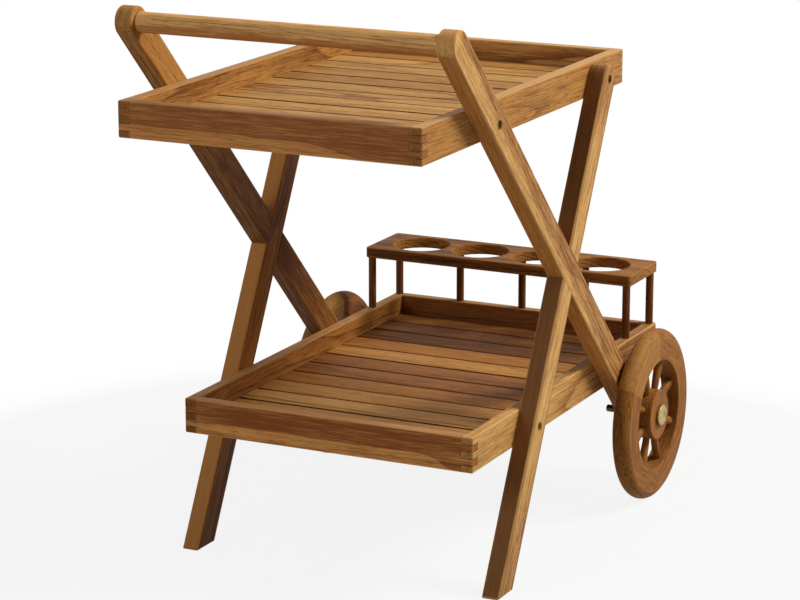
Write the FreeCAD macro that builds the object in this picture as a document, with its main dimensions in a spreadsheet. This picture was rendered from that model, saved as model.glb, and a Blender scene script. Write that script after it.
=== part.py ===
import FreeCAD, Part
import os
import re

# Serving trolley. Millimetres, +Z up, +Y from the handle end to the wheel end, +X to the right.
# The origin is on the floor, in the middle of the trolley's length and width.
doc = FreeCAD.newDocument("serving_trolley")
sheet = doc.addObject("Spreadsheet::Sheet", "Sizes")

sizes = {
    # trays: the upper one reaches forward, the lower one reaches back
    "overall_length": 924,
    "tray_width": 488,
    "tray_length": 748,
    "upper_tray_top": 753,
    "lower_tray_top": 259,
    "rail_height": 55,
    "rail_thickness": 19,
    "rail_edge_radius": 2.5,
    "floor_depth": 32,
    "slat_thickness": 10,
    "slat_gap": 4,
    "slat_end_clearance": 0.4,
    "slat_edge_radius": 1.2,
    "ledger_width": 15,
    "ledger_height": 12,
    # crossed legs, measured on their centre lines
    "leg_thickness": 29,
    "leg_width": 46.5,
    "leg_edge_radius": 3,
    "crossing_height": 450,
    "crossing_offset": 12,
    "handle_leg_lean": 45,
    "stand_leg_lean": 27.9,
    # handle
    "handle_height": 858,
    "handle_radius": 15.5,
    "handle_edge_radius": 1.5,
    "handle_end_gap": 0.8,
    "handle_tenon_radius": 10,
    "handle_tenon_depth": 18,
    # screws that hold the legs to the side rails
    "recess_radius": 7.5,
    "recess_depth": 7,
    "screw_head_radius": 6,
    "screw_head_height": 3.5,
    "screw_shank_radius": 2.75,
    "screw_grip": 14,
    "screw_socket_radius": 2.6,
    "screw_socket_depth": 2,
    # bottle rack over the back of the lower tray
    "rack_top": 366,
    "rack_thickness": 18,
    "rack_depth": 125,
    "rack_corner_radius": 6,
    "rack_edge_radius": 1.8,
    "bottle_hole_radius": 49,
    "bottle_hole_pitch": 111,
    "post_radius": 6.5,
    "post_socket_depth": 9,
    "front_post_inset": 8,
    # wheels
    "wheel_radius": 142,
    "rim_thickness": 31,
    "tread_shoulder": 0.06,
    "rim_opening_radius": 91,
    "rim_edge_radius": 2,
    "hub_radius": 41.5,
    "hub_thickness": 32.5,
    "hub_edge_radius": 2,
    "spoke_hub_radius": 5.6,
    "spoke_rim_radius": 7.6,
    "spoke_socket_depth": 12,
    # axles
    "axle_radius": 6,
    "axle_tail": 30,
    "axle_tip_radius": 2,
    "axle_head_radius": 17.5,
    "axle_head_height": 4,
    "axle_head_edge_radius": 1,
    "bush_wall": 2,
    "washer_radius": 15,
    "washer_thickness": 1.5,
    "nut_radius": 11,
    "nut_height": 9,
    # fits: turning parts, the wheel's end play, and glued or screwed-in round parts
    "running_clearance": 0.05,
    "side_clearance": 0.3,
    "glue_clearance": 0.1,
    # how far a cutting shape runs past the face that it cuts
    "overrun": 5,
}

for row, (alias, value) in enumerate(sizes.items(), start=1):
    sheet.set(f"A{row}", alias)
    sheet.set(f"B{row}", str(value))
    sheet.setAlias(f"B{row}", alias)
doc.recompute()

slat_count = 12
finger_count = 5
bottle_count = 4
rear_post_count = 5
spoke_count = 8
segment_count = 6
full_turn = 360
quarter_turn = 90

axis_x = FreeCAD.Vector(1, 0, 0)
axis_y = FreeCAD.Vector(0, 1, 0)
axis_z = FreeCAD.Vector(0, 0, 1)
upright = FreeCAD.Rotation()
along_x = FreeCAD.Rotation(axis_y, quarter_turn)
hair = 10 * FreeCAD.Base.Precision.confusion()
sample_count = 4

# Places that several pieces share, as sums of the sheet's sizes.
half_width = "(tray_width / 2)"
half_length = "(overall_length / 2)"
inner_half_width = "(tray_width / 2 - rail_thickness)"
inner_length = "(tray_length - 2 * rail_thickness)"
tray_front = {"upper": "(-overall_length / 2)", "lower": "(overall_length / 2 - tray_length)"}
tray_top = {"upper": "upper_tray_top", "lower": "lower_tray_top"}
leg_outer = "(tray_width / 2 + leg_thickness)"
recess_floor = "(tray_width / 2 + leg_thickness - recess_depth)"
handle_y = "(crossing_offset - (handle_height - crossing_height) * tan(handle_leg_lean))"
axle_y = "(crossing_offset + (crossing_height - wheel_radius) * tan(handle_leg_lean))"
hub_inner = "(tray_width / 2 + leg_thickness + washer_thickness + side_clearance)"
hub_outer = f"({hub_inner} + hub_thickness)"
head_inner = f"({hub_outer} + side_clearance + washer_thickness)"
wheel_middle = f"({hub_inner} + hub_thickness / 2)"
rack_bottom = "(rack_top - rack_thickness)"
rack_front = "(overall_length / 2 - rack_depth)"
post_line = "(tray_width / 2 - rail_thickness / 2)"


def size(alias):
    return float(sheet.get(alias))


def formula(text):
    kept = ("cos", "sin", "tan")
    return re.sub(r"[a-z]\w*", lambda word: word[0] if word[0] in kept else "Sizes." + word[0], text)


def bind(item, places):
    for name, text in places.items():
        item.setExpression(name, formula(text))
    return item


def put(item, x, y, z, rotation):
    item.Placement.Rotation = rotation
    return bind(item, {"Placement.Base.x": x, "Placement.Base.y": y, "Placement.Base.z": z})


def block(name, x, y, z, length, width, height):
    item = doc.addObject("Part::Box", name)
    bind(item, {"Length": length, "Width": width, "Height": height})
    return put(item, x, y, z, upright)


def rod(name, x, y, z, radius, height, rotation):
    item = doc.addObject("Part::Cylinder", name)
    bind(item, {"Radius": radius, "Height": height})
    return put(item, x, y, z, rotation)


def taper(name, x, y, z, start_radius, end_radius, height, rotation):
    item = doc.addObject("Part::Cone", name)
    bind(item, {"Radius1": start_radius, "Radius2": end_radius, "Height": height})
    return put(item, x, y, z, rotation)


def hexagon(name, x, y, z, radius, height):
    item = doc.addObject("Part::Prism", name)
    item.Polygon = 6
    bind(item, {"Circumradius": radius, "Height": height})
    return put(item, x, y, z, along_x)


def cut(name, base, tool):
    item = doc.addObject("Part::Cut", name)
    item.Base = base
    item.Tool = tool
    return item


def common(name, base, tool):
    item = doc.addObject("Part::Common", name)
    item.Base = base
    item.Tool = tool
    return item


def fuse(name, pieces):
    item = doc.addObject("Part::MultiFuse", name)
    item.Shapes = pieces
    item.Refine = True
    return item


def group(name, pieces):
    item = doc.addObject("Part::Compound", name)
    item.Links = pieces
    return item


def mirrored(name, source):
    item = doc.addObject("Part::Mirroring", name)
    item.Source = source
    item.Normal = axis_x
    return item


def eased(name, base, radius, wanted):
    doc.recompute()
    item = doc.addObject("Part::Fillet", name)
    item.Base = base
    edges = [(number, edge) for number, edge in enumerate(base.Shape.Edges, start=1) if not edge.Degenerated]
    item.Edges = [(number, size(radius), size(radius)) for number, edge in edges if wanted(edge)]
    return item


def lies_flat(edge, axis):
    places = [point.dot(axis) for point in edge.discretize(sample_count)]
    return max(places) - min(places) < hair


def any_edge(edge):
    return True


def level_edge(edge):
    return lies_flat(edge, axis_z)


def upright_edge(edge):
    return lies_flat(edge, axis_x) and lies_flat(edge, axis_y)


def side_edge(edge):
    return lies_flat(edge, axis_x)


def ring_edge(radius):
    def wanted(edge):
        return isinstance(edge.Curve, Part.Circle) and abs(edge.Curve.Radius - size(radius)) < hair

    return wanted


nodes = []


def node(item):
    item.Label = item.Name
    nodes.append(item)
    return item


# Leg screws: the legs are held to the middle of each side rail, on their own centre lines.
screw_places = {}
for tray, top in tray_top.items():
    middle = f"({top} - rail_height / 2)"
    rise = f"({middle} - crossing_height)"
    screw_places[tray, "handle_leg"] = (f"(crossing_offset - {rise} * tan(handle_leg_lean))", middle)
    screw_places[tray, "stand_leg"] = (f"(crossing_offset + {rise} * tan(stand_leg_lean))", middle)

screws = []
screw_holes = {}
for (tray, leg), (y, z) in screw_places.items():
    name = f"{tray}_{leg}_screw"
    grip = "(tray_width / 2 - screw_grip)"
    shank_length = f"({recess_floor} - {grip})"
    head = rod(f"{name}_head", recess_floor, y, z, "screw_head_radius", "screw_head_height", along_x)
    shank = rod(f"{name}_shank", grip, y, z, "screw_shank_radius", shank_length, along_x)
    socket_floor = f"{recess_floor} + screw_head_height - screw_socket_depth"
    socket = hexagon(f"{name}_socket", socket_floor, y, z, "screw_socket_radius", "screw_socket_depth + overrun")
    screws.append(cut(name, fuse(f"{name}_blank", [head, shank]), socket))
    hole_radius = "screw_shank_radius + glue_clearance"
    hole = rod(f"{name}_hole", grip, y, z, hole_radius, f"{shank_length} + overrun", along_x)
    recess = rod(f"{name}_recess", recess_floor, y, z, "recess_radius", "recess_depth + overrun", along_x)
    screw_holes[tray, leg] = fuse(f"{name}_bore", [hole, recess])

# Posts of the bottle rack: two in front on the side rails, a row along the back on the rear rail.
front_post_y = f"({rack_front} + front_post_inset)"
rear_post_y = "(overall_length / 2 - rail_thickness / 2)"
post_places = {"front": [], "rear": []}
for step in range(2):
    post_places["front"].append((f"({post_line} * {2 * step - 1})", front_post_y))
for step in range(rear_post_count):
    post_places["rear"].append((f"({post_line} * (2 * {step} / {rear_post_count - 1} - 1))", rear_post_y))

post_start = "lower_tray_top - post_socket_depth"
post_length = f"{rack_bottom} - lower_tray_top + 2 * post_socket_depth"
posts = {"front": [], "rear": []}
post_sockets = []
for row, places in post_places.items():
    for number, (x, y) in enumerate(places, start=1):
        name = f"{row}_post_{number}"
        posts[row].append(rod(name, x, y, post_start, "post_radius", post_length, upright))
        socket_radius = "post_radius + glue_clearance"
        post_sockets.append(rod(f"{name}_socket", x, y, post_start, socket_radius, post_length, upright))
post_holes = group("post_holes", post_sockets)

# Trays: four rails with finger joints at the corners, and slats across on two ledgers.
finger_height = f"(rail_height / {finger_count})"
slat_width = f"(({inner_length} - 2 * slat_end_clearance - {slat_count - 1} * slat_gap) / {slat_count})"


def mouth_edge(edge):
    inside = size("tray_width") / 2 - size("rail_thickness") + hair
    return level_edge(edge) and all(abs(point.x) < inside for point in edge.discretize(sample_count))


def finger_blocks(tray, first, corners):
    front = tray_front[tray]
    rear = f"({front} + tray_length - rail_thickness)"
    blocks = []
    for step in range(first, finger_count, 2):
        z = f"{tray_top[tray]} - rail_height + {step} * {finger_height}"
        for side, end in corners:
            name = f"{tray}_finger_{side}_{end}_{step}"
            x = inner_half_width if side == "right" else f"-{half_width} - overrun"
            y = f"{front} - overrun" if end == "front" else rear
            reach = "rail_thickness + overrun"
            blocks.append(block(name, x, y, z, reach, reach, finger_height))
    return blocks


for tray, front in tray_front.items():
    top = tray_top[tray]
    bottom = f"({top} - rail_height)"
    outside = block(f"{tray}_outside", f"-{half_width}", front, bottom, "tray_width", "tray_length", "rail_height")
    rounded = eased(f"{tray}_rounded", outside, "rail_edge_radius", any_edge)
    well = block(
        f"{tray}_well",
        f"-{inner_half_width}",
        f"{front} + rail_thickness",
        f"{bottom} - overrun",
        f"2 * {inner_half_width}",
        inner_length,
        "rail_height + 2 * overrun",
    )
    ring = cut(f"{tray}_ring", rounded, well)
    frame = eased(f"{tray}_frame", ring, "rail_edge_radius", mouth_edge)

    end_sizes = ("tray_width + 2 * overrun", "rail_thickness + overrun", "rail_height + 2 * overrun")
    rear = f"({front} + tray_length - rail_thickness)"
    for end, y in (("front", f"{front} - overrun"), ("rear", rear)):
        zone = block(f"{tray}_{end}_zone", f"-{half_width} - overrun", y, f"{bottom} - overrun", *end_sizes)
        blank = common(f"{tray}_{end}_blank", frame, zone)
        corners = (("left", end), ("right", end))
        notches = group(f"{tray}_{end}_notches", finger_blocks(tray, 0, corners))
        if tray == "lower" and end == "rear":
            rail = cut(f"{tray}_{end}_notched", blank, notches)
            node(cut(f"{tray}_{end}_rail", rail, post_holes))
        else:
            node(cut(f"{tray}_{end}_rail", blank, notches))

    zone = block(
        f"{tray}_right_zone",
        inner_half_width,
        f"{front} - overrun",
        f"{bottom} - overrun",
        "rail_thickness + overrun",
        "tray_length + 2 * overrun",
        "rail_height + 2 * overrun",
    )
    blank = common(f"{tray}_right_blank", frame, zone)
    corners = (("right", "front"), ("right", "rear"))
    cutters = finger_blocks(tray, 1, corners)
    cutters += [screw_holes[tray, "handle_leg"], screw_holes[tray, "stand_leg"]]
    if tray == "lower":
        cutters.append(post_holes)
    side_rail = node(cut(f"{tray}_right_rail", blank, group(f"{tray}_right_notches", cutters)))
    node(mirrored(f"{tray}_left_rail", side_rail))

    slat_z = f"({top} - floor_depth - slat_thickness)"
    slat_start = f"({front} + rail_thickness + slat_end_clearance)"
    for step in range(slat_count):
        board = block(
            f"{tray}_board_{step + 1:02d}",
            f"-{inner_half_width} + slat_end_clearance",
            f"{slat_start} + {step} * ({slat_width} + slat_gap)",
            slat_z,
            f"2 * {inner_half_width} - 2 * slat_end_clearance",
            slat_width,
            "slat_thickness",
        )
        node(eased(f"{tray}_slat_{step + 1:02d}", board, "slat_edge_radius", any_edge))

    ledger = block(
        f"{tray}_right_ledger",
        f"{inner_half_width} - ledger_width",
        f"{front} + rail_thickness",
        f"{slat_z} - ledger_height",
        "ledger_width",
        inner_length,
        "ledger_height",
    )
    node(ledger)
    node(mirrored(f"{tray}_left_ledger", ledger))


# Legs: two flat bars on each side, crossed in a flush half-lap. The handle leg keeps the outer half.
def bar(name, lean, turn, low, high):
    length = f"(({high} + {low}) / cos({lean}))"
    item = doc.addObject("Part::Box", name)
    bind(item, {"Length": "leg_thickness", "Width": "leg_width", "Height": length})
    y = f"crossing_offset - leg_width / 2 * cos({lean}) + {turn} * {low} * tan({lean})"
    z = f"crossing_height - {turn} * leg_width / 2 * sin({lean}) - {low}"
    return put(item, half_width, y, z, FreeCAD.Rotation(axis_x, turn * size(lean)))


upper_middle = "(upper_tray_top - rail_height / 2)"
stand_top_y = screw_places["upper", "stand_leg"][0]
floor_reach = "(crossing_height + leg_width * sin(stand_leg_lean) + overrun)"
handle_rise = "(handle_height - crossing_height)"
axle_drop = "(crossing_height - wheel_radius)"
stand_rise = f"({upper_middle} - crossing_height)"

handle_bar = bar("handle_bar", "handle_leg_lean", 1, axle_drop, handle_rise)
handle_top = rod("handle_bar_top", half_width, handle_y, "handle_height", "leg_width / 2", "leg_thickness", along_x)
handle_foot = rod("handle_bar_foot", half_width, axle_y, "wheel_radius", "leg_width / 2", "leg_thickness", along_x)
handle_blank = fuse("handle_leg_blank", [handle_bar, handle_top, handle_foot])
handle_eased = eased("handle_leg_eased", handle_blank, "leg_edge_radius", side_edge)

stand_bar = bar("stand_bar", "stand_leg_lean", -1, floor_reach, stand_rise)
stand_top = rod("stand_bar_top", half_width, stand_top_y, upper_middle, "leg_width / 2", "leg_thickness", along_x)
ground = block(
    "ground",
    f"{half_width} - overrun",
    f"-{half_length}",
    "-leg_width - overrun * 2",
    "leg_thickness + 2 * overrun",
    "overall_length",
    "leg_width + overrun * 2",
)
stand_blank = cut("stand_leg_blank", fuse("stand_leg_bar", [stand_bar, stand_top]), ground)
stand_eased = eased("stand_leg_eased", stand_blank, "leg_edge_radius", side_edge)

inner_half = block(
    "lap_inner",
    f"{half_width} - overrun",
    f"-{half_length}",
    "0",
    "leg_thickness / 2 + overrun",
    "overall_length",
    "handle_height",
)
outer_half = block(
    "lap_outer",
    f"{half_width} + leg_thickness / 2",
    f"-{half_length}",
    "0",
    "leg_thickness / 2 + overrun",
    "overall_length",
    "handle_height",
)
handle_lap = common("handle_leg_lap", stand_bar, inner_half)
stand_lap = common("stand_leg_lap", handle_bar, outer_half)
tenon_radius = "handle_tenon_radius + glue_clearance"
tenon_depth = "handle_tenon_depth + overrun"
tenon_start = f"{half_width} - overrun"
tenon_hole = rod("tenon_hole", tenon_start, handle_y, "handle_height", tenon_radius, tenon_depth, along_x)
axle_hole_radius = "axle_radius + running_clearance"
axle_hole_length = "leg_thickness + 2 * overrun"
axle_hole = rod("axle_hole", tenon_start, axle_y, "wheel_radius", axle_hole_radius, axle_hole_length, along_x)
handle_tools = [handle_lap, tenon_hole, axle_hole]
handle_tools += [screw_holes["upper", "handle_leg"], screw_holes["lower", "handle_leg"]]
stand_tools = [stand_lap, screw_holes["upper", "stand_leg"], screw_holes["lower", "stand_leg"]]
handle_leg = node(cut("right_handle_leg", handle_eased, group("handle_leg_cuts", handle_tools)))
stand_leg = node(cut("right_stand_leg", stand_eased, group("stand_leg_cuts", stand_tools)))
node(mirrored("left_handle_leg", handle_leg))
node(mirrored("left_stand_leg", stand_leg))
node(group("leg_screws", screws + [mirrored(f"left_{screw.Name}", screw) for screw in screws]))

# Handle: a round bar with a tenon at each end.
grip_start = f"-{half_width} + handle_end_gap"
grip_length = "tray_width - 2 * handle_end_gap"
grip_bar = rod("handle_grip", grip_start, handle_y, "handle_height", "handle_radius", grip_length, along_x)
tenon_length = "tray_width + 2 * handle_tenon_depth"
core_start = f"-{half_width} - handle_tenon_depth"
core = rod("handle_core", core_start, handle_y, "handle_height", "handle_tenon_radius", tenon_length, along_x)
handle_bar_blank = fuse("handle_blank", [grip_bar, core])
node(eased("handle", handle_bar_blank, "handle_edge_radius", ring_edge("handle_radius")))

# Bottle rack: a board on round posts, flush with the lower tray's back.
board = block(
    "rack_board",
    f"-{half_width}",
    rack_front,
    rack_bottom,
    "tray_width",
    "rack_depth",
    "rack_thickness",
)
cornered = eased("rack_cornered", board, "rack_corner_radius", upright_edge)
bottle_holes = []
for step in range(bottle_count):
    x = f"bottle_hole_pitch * ({step} - {bottle_count - 1} / 2)"
    y = f"{rack_front} + rack_depth / 2"
    z = f"{rack_bottom} - overrun"
    through = "rack_thickness + 2 * overrun"
    bottle_holes.append(rod(f"bottle_hole_{step + 1}", x, y, z, "bottle_hole_radius", through, upright))
pierced = cut("rack_pierced", cornered, group("bottle_holes", bottle_holes))
softened = eased("rack_softened", pierced, "rack_edge_radius", level_edge)
node(cut("bottle_rack", softened, post_holes))
node(group("rack_front_posts", posts["front"]))
node(group("rack_rear_posts", posts["rear"]))

# Wheel: a rim of sawn segments with a rounded tread, turned spokes and a hub with a bush.
tread_radius = "(rim_thickness / 2 + tread_shoulder)"
rim_start = f"({wheel_middle} - rim_thickness / 2)"
disc_radius = f"wheel_radius - {tread_radius}"
disc = rod("rim_disc", rim_start, axle_y, "wheel_radius", disc_radius, "rim_thickness", along_x)
tread = doc.addObject("Part::Torus", "rim_tread")
bind(tread, {"Radius1": disc_radius, "Radius2": tread_radius})
put(tread, wheel_middle, axle_y, "wheel_radius", along_x)
slab_radius = "wheel_radius + overrun"
slab = rod("rim_slab", rim_start, axle_y, "wheel_radius", slab_radius, "rim_thickness", along_x)
rounded_disc = fuse("rim_rounded", [disc, common("rim_crown", tread, slab)])
opening = rod(
    "rim_opening",
    f"{rim_start} - overrun",
    axle_y,
    "wheel_radius",
    "rim_opening_radius",
    "rim_thickness + 2 * overrun",
    along_x,
)
hoop = cut("rim_hoop", rounded_disc, opening)
soft_hoop = eased("rim_eased", hoop, "rim_edge_radius", ring_edge("rim_opening_radius"))

# Spokes: turned thicker toward the rim, with a straight tenon at each end.
def on_spoke(angle, distance):
    return f"{axle_y} + {distance} * cos({angle})", f"wheel_radius + {distance} * sin({angle})"


hub_socket = "(hub_radius - spoke_socket_depth)"
rim_mouth = "(rim_opening_radius - overrun)"
socket_length = "spoke_socket_depth + overrun"
body_length = "rim_opening_radius - hub_radius"
spokes = []
sockets = []
for step in range(spoke_count):
    angle = (step + 1 / 2) * full_turn / spoke_count
    radial = FreeCAD.Rotation(axis_x, angle - quarter_turn)
    name = f"spoke_{step + 1}"
    body_place = on_spoke(angle, "hub_radius")
    body = taper(f"{name}_body", wheel_middle, *body_place, "spoke_hub_radius", "spoke_rim_radius", body_length, radial)
    spoke = [body]
    ends = (("hub", hub_socket, hub_socket), ("rim", "rim_opening_radius", rim_mouth))
    for end, tenon_start, socket_start in ends:
        radius = f"spoke_{end}_radius"
        tenon_place = on_spoke(angle, tenon_start)
        socket_place = on_spoke(angle, socket_start)
        socket_radius = f"{radius} + glue_clearance"
        spoke.append(rod(f"{name}_{end}_tenon", wheel_middle, *tenon_place, radius, "spoke_socket_depth", radial))
        sockets.append(rod(f"{name}_{end}_socket", wheel_middle, *socket_place, socket_radius, socket_length, radial))
    spokes.append(fuse(name, spoke))
spoke_holes = group("spoke_holes", sockets)

bored_hoop = cut("rim_bored", soft_hoop, spoke_holes)
segments = []
for step in range(segment_count):
    angle = (step + 1 / 2) * full_turn / segment_count
    sector_start = f"{rim_start} - overrun"
    sector_length = "rim_thickness + 2 * overrun"
    turned = along_x * FreeCAD.Rotation(axis_z, angle + quarter_turn)
    name = f"rim_sector_{step + 1}"
    sector = rod(name, sector_start, axle_y, "wheel_radius", slab_radius, sector_length, turned)
    sector.Angle = full_turn / segment_count
    segments.append(common(f"rim_segment_{step + 1}", bored_hoop, sector))

bush_outer = "axle_radius + running_clearance + bush_wall"
hub_blank = rod("hub_blank", hub_inner, axle_y, "wheel_radius", "hub_radius", "hub_thickness", along_x)
hub_eased = eased("hub_eased", hub_blank, "hub_edge_radius", ring_edge("hub_radius"))
hub_bore = rod(
    "hub_bore",
    f"{hub_inner} - overrun",
    axle_y,
    "wheel_radius",
    f"{bush_outer} + glue_clearance",
    "hub_thickness + 2 * overrun",
    along_x,
)
hub_drilled = cut("hub_drilled", hub_eased, hub_bore)
bush_blank = rod("bush_blank", hub_inner, axle_y, "wheel_radius", bush_outer, "hub_thickness", along_x)
bush_bore = rod(
    "bush_bore",
    f"{hub_inner} - overrun",
    axle_y,
    "wheel_radius",
    axle_hole_radius,
    "hub_thickness + 2 * overrun",
    along_x,
)

# Axle: a bolt with a broad flat head outside the hub, washers, and a nut inside the leg.
tail_x = f"({half_width} - axle_tail)"
shank_length = f"{head_inner} - {tail_x}"
axle_shank = rod("axle_shank", tail_x, axle_y, "wheel_radius", "axle_radius", shank_length, along_x)
axle_head = rod("axle_head", head_inner, axle_y, "wheel_radius", "axle_head_radius", "axle_head_height", along_x)
axle_blank = fuse("axle_blank", [axle_shank, axle_head])


def tip_edge(edge):
    ring = ring_edge("axle_radius")(edge)
    return ring and edge.CenterOfMass.x < size("tray_width") / 2


axle_tipped = eased("axle_tipped", axle_blank, "axle_tip_radius", tip_edge)

washer_places = (f"({half_width} - washer_thickness)", leg_outer, f"({hub_outer} + side_clearance)")
washers = []
for number, x in enumerate(washer_places, start=1):
    plate = rod(f"washer_plate_{number}", x, axle_y, "wheel_radius", "washer_radius", "washer_thickness", along_x)
    hole_x = f"{x} - overrun"
    hole_length = "washer_thickness + 2 * overrun"
    hole = rod(f"washer_hole_{number}", hole_x, axle_y, "wheel_radius", axle_hole_radius, hole_length, along_x)
    washers.append(cut(f"washer_{number}", plate, hole))

nut_x = f"({half_width} - washer_thickness - nut_height)"
nut_blank = hexagon("nut_blank", nut_x, axle_y, "wheel_radius", "nut_radius", "nut_height")
nut_hole_length = "nut_height + 2 * overrun"
nut_hole = rod("nut_hole", f"{nut_x} - overrun", axle_y, "wheel_radius", axle_hole_radius, nut_hole_length, along_x)

wheel_pieces = [
    group("right_wheel_rim", segments),
    group("right_wheel_spokes", spokes),
    cut("right_wheel_hub", hub_drilled, spoke_holes),
    cut("right_wheel_bush", bush_blank, bush_bore),
    eased("right_axle_bolt", axle_tipped, "axle_head_edge_radius", ring_edge("axle_head_radius")),
    group("right_axle_washers", washers),
    cut("right_axle_nut", nut_blank, nut_hole),
]
for piece in wheel_pieces:
    node(piece)
    node(mirrored(piece.Name.replace("right", "left"), piece))

doc.recompute()

for item in doc.Objects:
    if "Invalid" in item.State or "Error" in item.State:
        raise RuntimeError(f"{item.Name} failed: {item.State}")
for item in nodes:
    if item.Shape.isNull() or not item.Shape.isValid() or item.Shape.Volume <= 0:
        raise RuntimeError(f"{item.Label} has no valid solid")

os.makedirs("parts", exist_ok=True)
for item in nodes:
    item.Shape.exportStep(f"parts/{item.Label}.step")
    print(f"{item.Label}: {len(item.Shape.Solids)} solid(s), {item.Shape.Volume:.0f} mm3")
print(f"{len(nodes)} nodes")
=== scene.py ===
import math
import random

import bpy
from mathutils import Matrix, Vector


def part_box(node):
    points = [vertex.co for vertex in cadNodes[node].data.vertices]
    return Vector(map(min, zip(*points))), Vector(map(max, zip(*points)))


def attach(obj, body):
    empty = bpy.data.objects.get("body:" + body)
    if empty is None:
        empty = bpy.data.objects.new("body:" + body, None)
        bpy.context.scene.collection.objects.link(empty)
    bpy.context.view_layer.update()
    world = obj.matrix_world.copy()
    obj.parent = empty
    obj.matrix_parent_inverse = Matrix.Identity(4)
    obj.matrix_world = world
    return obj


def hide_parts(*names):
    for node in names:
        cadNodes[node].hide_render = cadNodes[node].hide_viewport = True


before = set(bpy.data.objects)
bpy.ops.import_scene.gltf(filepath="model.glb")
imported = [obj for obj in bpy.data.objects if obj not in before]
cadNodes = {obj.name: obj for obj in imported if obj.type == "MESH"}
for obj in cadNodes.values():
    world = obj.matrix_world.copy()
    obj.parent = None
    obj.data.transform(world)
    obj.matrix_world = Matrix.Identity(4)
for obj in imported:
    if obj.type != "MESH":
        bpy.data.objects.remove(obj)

for leftover in ("Cube", "Light", "Camera"):
    if leftover in bpy.data.objects:
        bpy.data.objects.remove(bpy.data.objects[leftover])
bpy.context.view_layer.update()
print("frame loaded:", len(cadNodes), "nodes")


# small helpers for node trees

def addNode(tree, kind, **settings):
    node = tree.nodes.new(kind)
    for key, value in settings.items():
        setattr(node, key, value)
    return node


def feed(tree, socket, value):
    if isinstance(value, bpy.types.NodeSocket):
        tree.links.new(value, socket)
    elif value is not None:
        socket.default_value = value


def calc(tree, operation, first, second=None, third=None):
    node = addNode(tree, "ShaderNodeMath", operation=operation)
    for socket, value in zip(node.inputs, (first, second, third)):
        feed(tree, socket, value)
    return node.outputs[0]


def plus(tree, first, second):
    return calc(tree, "ADD", first, second)


def minus(tree, first, second):
    return calc(tree, "SUBTRACT", first, second)


def times(tree, first, second):
    return calc(tree, "MULTIPLY", first, second)


def distance(tree, first, second):
    return calc(tree, "SQRT", plus(tree, times(tree, first, first), times(tree, second, second)))


def apart(tree, first, second):
    return calc(tree, "ABSOLUTE", minus(tree, first, second))


def stretch(tree, vector, scale, shift=None):
    node = addNode(tree, "ShaderNodeVectorMath", operation="MULTIPLY_ADD")
    feed(tree, node.inputs[0], vector)
    node.inputs[1].default_value = scale
    feed(tree, node.inputs[2], shift)
    return node.outputs[0]


def noise(tree, vector, detail=2.0, roughness=0.5):
    node = addNode(tree, "ShaderNodeTexNoise", noise_dimensions="3D")
    feed(tree, node.inputs["Vector"], vector)
    node.inputs["Scale"].default_value = 1.0
    node.inputs["Detail"].default_value = detail
    node.inputs["Roughness"].default_value = roughness
    return node.outputs["Fac"]


def ease(tree, value, low, high, toLow=0.0, toHigh=1.0):
    node = addNode(tree, "ShaderNodeMapRange", interpolation_type="SMOOTHSTEP")
    for socket, item in zip(node.inputs, (value, low, high, toLow, toHigh)):
        feed(tree, socket, item)
    return node.outputs[0]


def mixColor(tree, factor, first, second):
    node = addNode(tree, "ShaderNodeMix", data_type="RGBA")
    feed(tree, node.inputs[0], factor)
    feed(tree, node.inputs[6], first)
    feed(tree, node.inputs[7], second)
    return node.outputs[2]


def paint(tree, color, mask, share, other):
    return mixColor(tree, times(tree, mask, share), color, other)


def split(tree, vector):
    node = addNode(tree, "ShaderNodeSeparateXYZ")
    feed(tree, node.inputs[0], vector)
    return node.outputs[0], node.outputs[1], node.outputs[2]


def join(tree, x, y, z):
    node = addNode(tree, "ShaderNodeCombineXYZ")
    for socket, value in zip(node.inputs, (x, y, z)):
        feed(tree, socket, value)
    return node.outputs[0]


def seenRay(tree):
    ray = addNode(tree, "ShaderNodeLightPath").outputs
    mirrored = calc(tree, "MAXIMUM", ray["Is Glossy Ray"], ray["Is Transmission Ray"])
    return calc(tree, "MAXIMUM", ray["Is Camera Ray"], mirrored)


def newGroup(name, inputs, outputs):
    tree = bpy.data.node_groups.new(name, "ShaderNodeTree")
    for label, kind, value in inputs:
        socket = tree.interface.new_socket(name=label, in_out="INPUT", socket_type="NodeSocket" + kind)
        if value is not None:
            socket.default_value = value
    for label, kind in outputs:
        tree.interface.new_socket(name=label, in_out="OUTPUT", socket_type="NodeSocket" + kind)
    return tree, addNode(tree, "NodeGroupInput").outputs, addNode(tree, "NodeGroupOutput").inputs


def useGroup(tree, group, **values):
    node = addNode(tree, "ShaderNodeGroup", node_tree=group)
    for label, value in values.items():
        feed(tree, node.inputs[label], value)
    return node.outputs


def tint(code):
    parts = [int(code[i:i + 2], 16) / 255 for i in (0, 2, 4)]
    return tuple(c / 12.92 if c <= 0.04045 else ((c + 0.055) / 1.055) ** 2.4 for c in parts) + (1.0,)


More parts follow.
